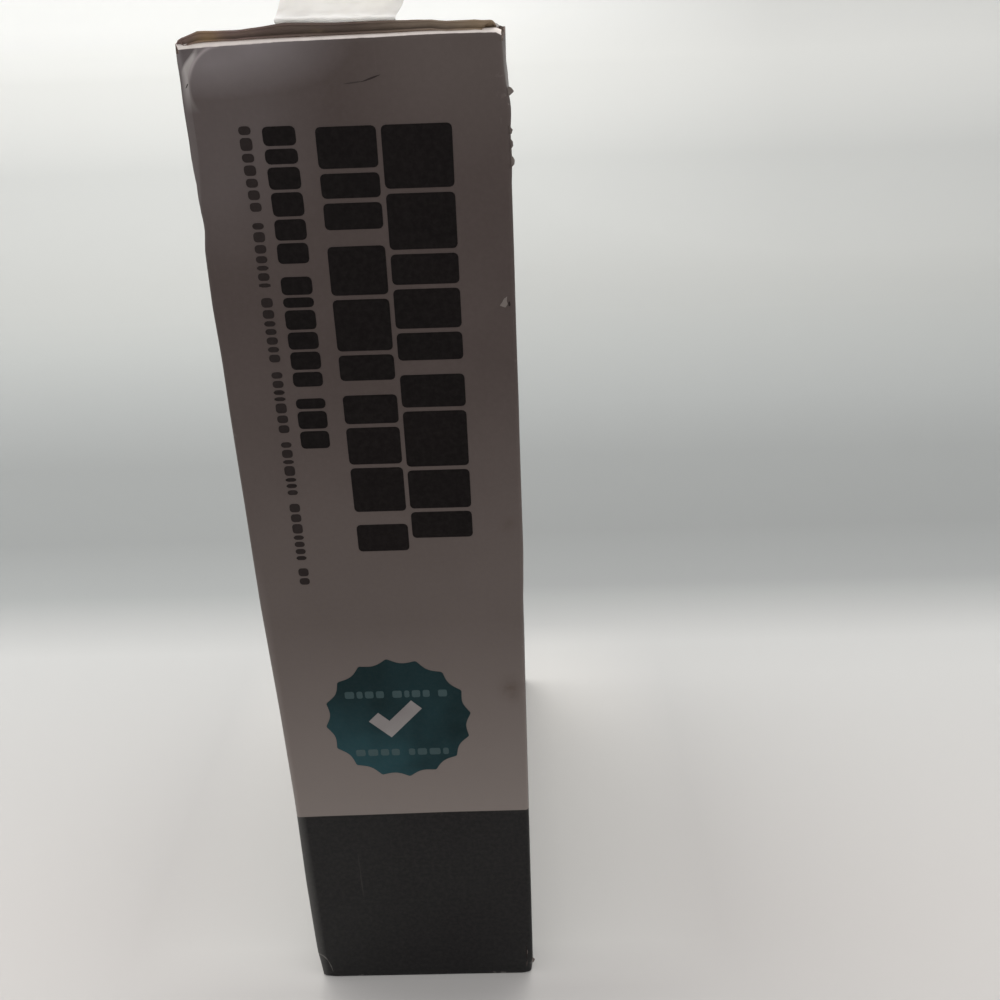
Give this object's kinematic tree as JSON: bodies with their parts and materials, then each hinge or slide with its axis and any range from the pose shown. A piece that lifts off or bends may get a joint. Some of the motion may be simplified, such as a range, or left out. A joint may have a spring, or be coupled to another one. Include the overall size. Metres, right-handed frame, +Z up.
{
  "type": "uv phone sanitizer carton",
  "caption": "Tall printed cardboard carton with a tuck-in lid and dust flaps, packed with a UV phone sanitizer held between end caps.",
  "frame": {"origin": "centre of the carton's underside, on the surface that it stands on", "axes": "+Z up along the carton's length; -Y out of the narrow printed spine that faces the camera; +X across that spine, to the camera's right"},
  "size_m": [0.0596, 0.14, 0.2496],
  "materials": {
    "printed_board": "matt laminated print on fine corrugated board, scuffed at its edges",
    "kraft_board": "bare brown kraft",
    "paper_tape": "creased cream paper tape",
    "moulded_pulp": "rough grey moulded pulp",
    "leaflet_paper": "plain white paper",
    "white_casing": "satin white moulding",
    "mirror_pan": "bright reflective",
    "dark_rubber": "soft matt",
    "clear_window": "clear",
    "circuit_board": "green solder mask",
    "lamp_ceramic": "ceramic lamp package",
    "copper": "enamelled copper wire",
    "ferrite": "dull dark sheet",
    "steel": "plated",
    "black_plastic": "matt",
    "teal_plastic": "satin"
  },
  "bodies": {
    "carton": {"carton_tube": "printed_board", "bottom_outer_flap": "kraft_board", "bottom_inner_flap": "kraft_board", "bottom_dust_flap_front": "kraft_board", "bottom_dust_flap_rear": "kraft_board", "pulp_cap_bottom": "moulded_pulp", "pulp_cap_top": "moulded_pulp", "leaflet": "leaflet_paper", "base_shell": "white_casing", "bottom_cover": "white_casing", "base_liner": "mirror_pan", "lid_gasket": "dark_rubber", "lid_liner": "mirror_pan", "device_lid_shell": "white_casing", "base_lamp_window": "clear_window", "base_lamp_board": "circuit_board", "base_lamp_left": "lamp_ceramic", "base_lamp_right": "lamp_ceramic", "upper_lamp_window": "clear_window", "upper_lamp_board": "circuit_board", "upper_lamp_left": "lamp_ceramic", "upper_lamp_right": "lamp_ceramic", "charging_coil": "copper", "coil_ferrite": "ferrite", "charging_pad": "dark_rubber", "main_board": "circuit_board", "power_board": "circuit_board", "power_socket": "steel", "tact_switch": "black_plastic", "light_pipe": "clear_window", "lid_sensor": "black_plastic", "lid_magnet": "steel", "hinge_pin_left": "steel", "hinge_pin_right": "steel", "cover_screw_1": "steel", "cover_screw_2": "steel", "cover_screw_3": "steel", "cover_screw_4": "steel", "foot_1": "dark_rubber", "foot_2": "dark_rubber", "foot_3": "dark_rubber", "foot_4": "dark_rubber"},
    "lid": {"lid_panel": "printed_board", "seal_tape": "paper_tape"},
    "tuck": {"tuck_tongue": "printed_board"},
    "dust_front": {"dust_flap_front": "kraft_board"},
    "dust_rear": {"dust_flap_rear": "kraft_board"},
    "button": {"power_button": "teal_plastic"}
  },
  "joints": [
    {"name": "lid_hinge", "type": "hinge", "parent": "carton", "child": "lid", "pos_m": [-0.02975, 0, 0.23991], "axis": [0, -1, 0], "range_deg": [0, 220]},
    {"name": "tuck_fold", "type": "hinge", "parent": "lid", "child": "tuck", "pos_m": [0.02775, 0, 0.23991], "axis": [0, -1, 0], "range_deg": [0, 102]},
    {"name": "dust_front_fold", "type": "hinge", "parent": "carton", "child": "dust_front", "pos_m": [0, -0.07, 0.23801], "axis": [1, 0, 0], "range_deg": [0, 91]},
    {"name": "dust_rear_fold", "type": "hinge", "parent": "carton", "child": "dust_rear", "pos_m": [0, 0.07, 0.23801], "axis": [-1, 0, 0], "range_deg": [0, 91]},
    {"name": "button_press", "type": "slide", "parent": "carton", "child": "button", "axis": [0, 1, 0], "range_m": [0, 0.0006], "stiffness_N_per_m": 1500}
  ],
  "couplings": [
    {"joint": "tuck_fold", "follows": "lid_hinge", "ratio": 0.46},
    {"joint": "dust_front_fold", "follows": "lid_hinge", "ratio": 0.41},
    {"joint": "dust_rear_fold", "follows": "lid_hinge", "ratio": 0.41}
  ]
}
